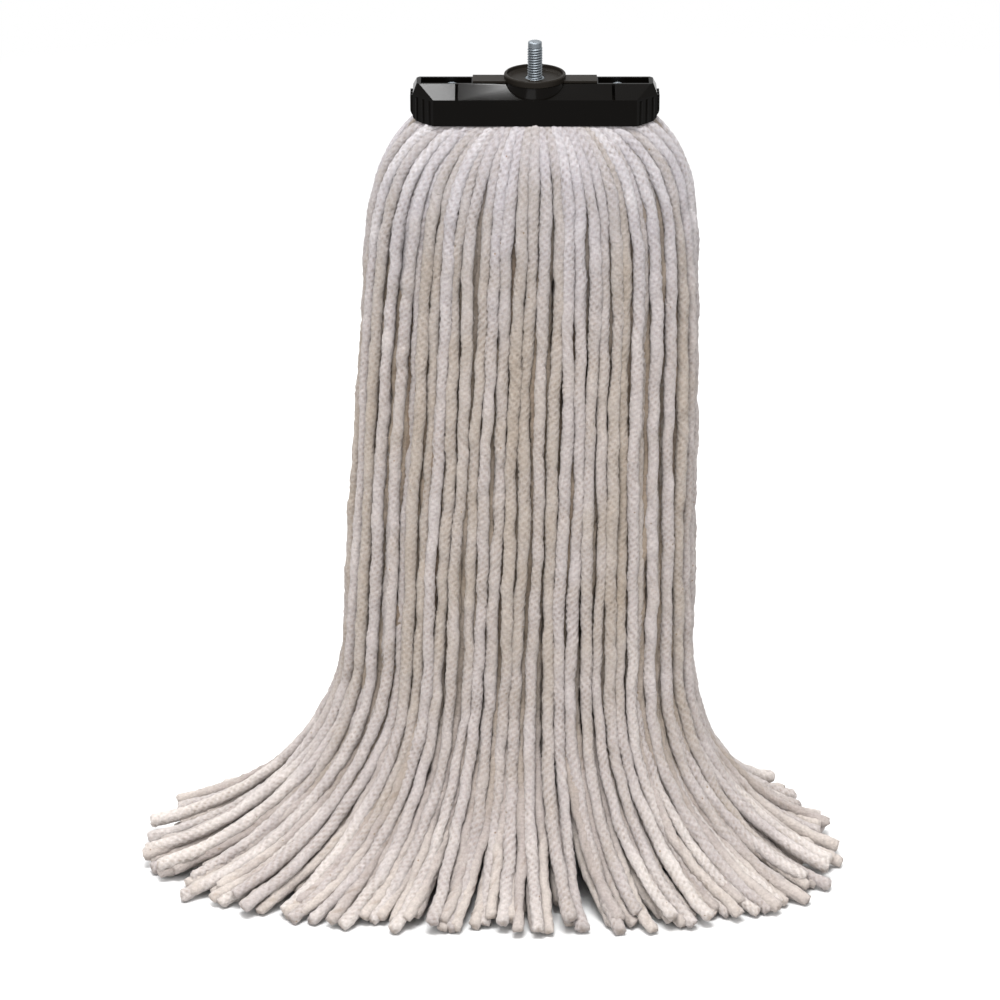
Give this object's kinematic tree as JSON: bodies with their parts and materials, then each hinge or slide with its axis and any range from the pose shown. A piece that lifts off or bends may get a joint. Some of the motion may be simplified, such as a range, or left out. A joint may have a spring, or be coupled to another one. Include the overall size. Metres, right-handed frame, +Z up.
{
  "type": "string mop head",
  "caption": "Screw-on wet mop head: plastic clamp yoke with a threaded stud for the handle, gripping a bell of cut-end twisted cotton yarns that splay out where they meet the floor.",
  "frame": {"origin": "on the stud's axis, at the floor of the handle's seat on top of the yoke", "axes": "+Z up along the stud, +X along the yoke to the viewer's right, -Y towards the viewer; the mop's foot stands 457.4 mm below the origin"},
  "size_m": [0.3845, 0.2284, 0.4774],
  "materials": {
    "black_plastic": "gloss, injection moulded",
    "seat_plastic": "satin, injection moulded",
    "zinc_steel": "bright zinc plated",
    "cotton_yarn": "natural unbleached four-ply cotton, fuzzy"
  },
  "bodies": {
    "root": {"yoke_shell": "black_plastic", "handle_seat": "seat_plastic", "clamp_plate": "black_plastic", "carriage_bolt": "zinc_steel", "stud_collar": "zinc_steel", "fixing_screws": "zinc_steel", "gripped_yarns": "cotton_yarn", "inner_yarns": "cotton_yarn", "front_yarn_01": "cotton_yarn", "front_yarn_02": "cotton_yarn", "front_yarn_03": "cotton_yarn", "front_yarn_04": "cotton_yarn", "front_yarn_05": "cotton_yarn", "front_yarn_06": "cotton_yarn", "front_yarn_07": "cotton_yarn", "front_yarn_08": "cotton_yarn", "front_yarn_09": "cotton_yarn", "front_yarn_10": "cotton_yarn", "front_yarn_11": "cotton_yarn", "front_yarn_12": "cotton_yarn", "front_yarn_13": "cotton_yarn", "front_yarn_14": "cotton_yarn", "front_yarn_15": "cotton_yarn", "front_yarn_16": "cotton_yarn", "front_yarn_17": "cotton_yarn", "front_yarn_18": "cotton_yarn", "front_yarn_19": "cotton_yarn", "front_yarn_20": "cotton_yarn", "back_yarn_01": "cotton_yarn", "back_yarn_02": "cotton_yarn", "back_yarn_03": "cotton_yarn", "back_yarn_04": "cotton_yarn", "back_yarn_05": "cotton_yarn", "back_yarn_06": "cotton_yarn", "back_yarn_07": "cotton_yarn", "back_yarn_08": "cotton_yarn", "back_yarn_09": "cotton_yarn", "back_yarn_10": "cotton_yarn", "back_yarn_11": "cotton_yarn", "back_yarn_12": "cotton_yarn", "back_yarn_13": "cotton_yarn", "back_yarn_14": "cotton_yarn", "back_yarn_15": "cotton_yarn", "back_yarn_16": "cotton_yarn", "back_yarn_17": "cotton_yarn", "back_yarn_18": "cotton_yarn", "back_yarn_19": "cotton_yarn", "back_yarn_20": "cotton_yarn"}
  },
  "joints": []
}
